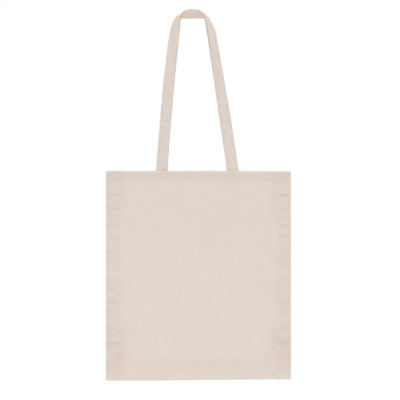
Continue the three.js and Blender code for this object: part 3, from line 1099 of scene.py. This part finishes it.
def strap_section():
    """Outline of the strap, once round: distance across and height off its middle."""
    half, thick = STRAP_WIDTH / 2, STRAP_THICKNESS / 2
    flat = half - STRAP_CORNER
    top = np.array([(w, thick) for w in np.linspace(-flat, flat, 25)])
    turns = np.linspace(0, math.pi / 2, 4)[1:-1]
    corner = np.stack([flat + STRAP_CORNER * np.sin(turns), thick - STRAP_CORNER * (1 - np.cos(turns))], -1)
    groove = [(half, 0.25), (half - STRAP_GROOVE, 0.0), (half, -0.25)]
    right = [corner, groove, corner[::-1] * (1, -1)]
    left = [-corner, [(-half, 0.0)], corner[::-1] * (-1, 1)]
    return np.concatenate([top, *right, top[::-1] * (1, -1), *left])


def strap_piece(name, side, seed):
    middle, across, outward, s = strap_frame(side)
    section = strap_section()
    w, h = section.T[:, None]
    height = h + strap_relief(w, s[:, None], s[-1], seed)
    points = middle[:, None] + across[:, None] * w[..., None] + outward[:, None] * height[..., None]
    number = np.arange(points.size // 3).reshape(points.shape[:2])
    beside = np.roll(number, -1, axis=1)
    walls = np.stack([number[:-1], number[1:], beside[1:], beside[:-1]], -1).reshape(-1, 4)
    faces = walls.tolist() + [number[0].tolist(), number[-1, ::-1].tolist()]
    if side == "back":
        faces = [face[::-1] for face in faces]
    uv = np.stack(np.meshgrid(distances_along(section), s), -1).reshape(-1, 2)
    return make_piece(name, points.reshape(-1, 3) * facing(side), faces, uv, strap_cloth)


def on_strap(strap, s, w, face, seed):
    """Points on a face of a strap at s along it and w across it, and the directions out of it."""
    *lines, distances = strap
    middle, across, outward = (points_along(line, distances, s) for line in lines)
    height = strap_relief(np.full_like(s, w), s, distances[-1], seed) + face * STRAP_THICKNESS / 2
    return middle + across * w + outward * height[:, None], outward * face


def strap_stitches(name, side, seed):
    """A row of stitches along both edges of the strap, on both of its faces."""
    strap = strap_frame(side)
    length = strap[-1][-1]
    count = int(length / STITCH_LENGTH)
    gap = (1 - STITCH_FILL) / 2
    begin, finish = ((np.arange(count) + share) / count * length for share in (gap, 1 - gap))
    inset = STRAP_WIDTH / 2 - STRAP_STITCH_INSET
    rows = []
    for w in (-inset, inset):
        for face in (-1, 1):
            first, normal = on_strap(strap, begin, w, face, seed)
            rows.append((first, on_strap(strap, finish, w, face, seed)[0], normal))
    return stitch_piece(name, rows, side)


# ==== Baking the pieces' transforms ====


def follow_mouth(piece):
    """Bakes the piece's transform into its mesh and reads its points."""
    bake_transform(piece)
    points = np.zeros(len(piece.data.vertices) * 3, np.float32)
    piece.data.vertices.foreach_get("co", points)


def follow_fold(piece):
    """Bakes the piece's transform into its mesh."""
    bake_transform(piece)


# ==== The bag ====

SEEDS = {"front": 100, "back": 300}
STRAP_SEED = 70  # added to the seed of the strap's side
SEAM_SEEDS = {"left_side_seam": 500, "right_side_seam": 510, "bottom_seam": 520}

canvas = canvas_material("canvas_cloth", CANVAS, panel_painted_shade)
strap_cloth = canvas_material("strap_cloth", STRAP, strap_painted_light_and_streaks)
seam_cloth = canvas_material("seam_cloth", STRAP, no_tints)
thread = thread_material("sewing_thread", THREAD)


def add_side(side):
    seed = SEEDS[side]
    grid, uv = panel_grid(seed)
    if side == "back":
        grid, uv = grid[:, ::-1] * facing(side), uv[:, ::-1]
    panel = cloth_solid(f"{side}_panel_cloth", grid, uv, CLOTH, canvas)
    hem = stitches_on_panel(f"{side}_hem_stitches", hem_lines(), seed, side)
    tacks = {}
    for end, centre in zip(("left", "right"), END_CENTRES):
        name, lines = f"{side}_{end}_tack_stitches", tack_lines(centre)
        tacks[end] = stitches_on_panel(name, lines, seed, side, TACK_STITCH_LENGTH)
    handle = strap_piece(f"{side}_handle", side, seed + STRAP_SEED)
    rows = strap_stitches(f"{side}_handle_stitches", side, seed + STRAP_SEED)

    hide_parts(f"{side}_panel")
    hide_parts(f"{side}_hem_stitching")
    for end, tack in tacks.items():
        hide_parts(f"{side}_{end}_tack")
    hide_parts(f"{side}_handle_loop", f"{side}_handle_left_end", f"{side}_handle_right_end")
    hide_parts(f"{side}_handle_inner_stitching", f"{side}_handle_outer_stitching")

    if side == "front":
        follow_mouth(panel)
        follow_mouth(hem)
    else:
        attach(panel, "bag")
        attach(hem, "bag")
    for tack in tacks.values():
        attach(tack, "front_side" if side == "front" else "bag")
    follow_fold(handle)
    follow_fold(rows)


def add_seams():
    for node, seam in SEAMS.items():
        strip = seam_strip(f"{node}_strip", seam, SEAM_SEEDS[node])
        loops = overlock(f"{node}_strip_overlock", seam, SEAM_SEEDS[node])
        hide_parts(node)
        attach(strip, "bag")
        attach(loops, "bag")


add_camera()
add_world()
for lamp in LAMPS:
    add_lamp(*lamp)
add_floor()
bpy.context.scene.view_settings.view_transform = "Standard"

add_side("front")
add_side("back")
add_seams()
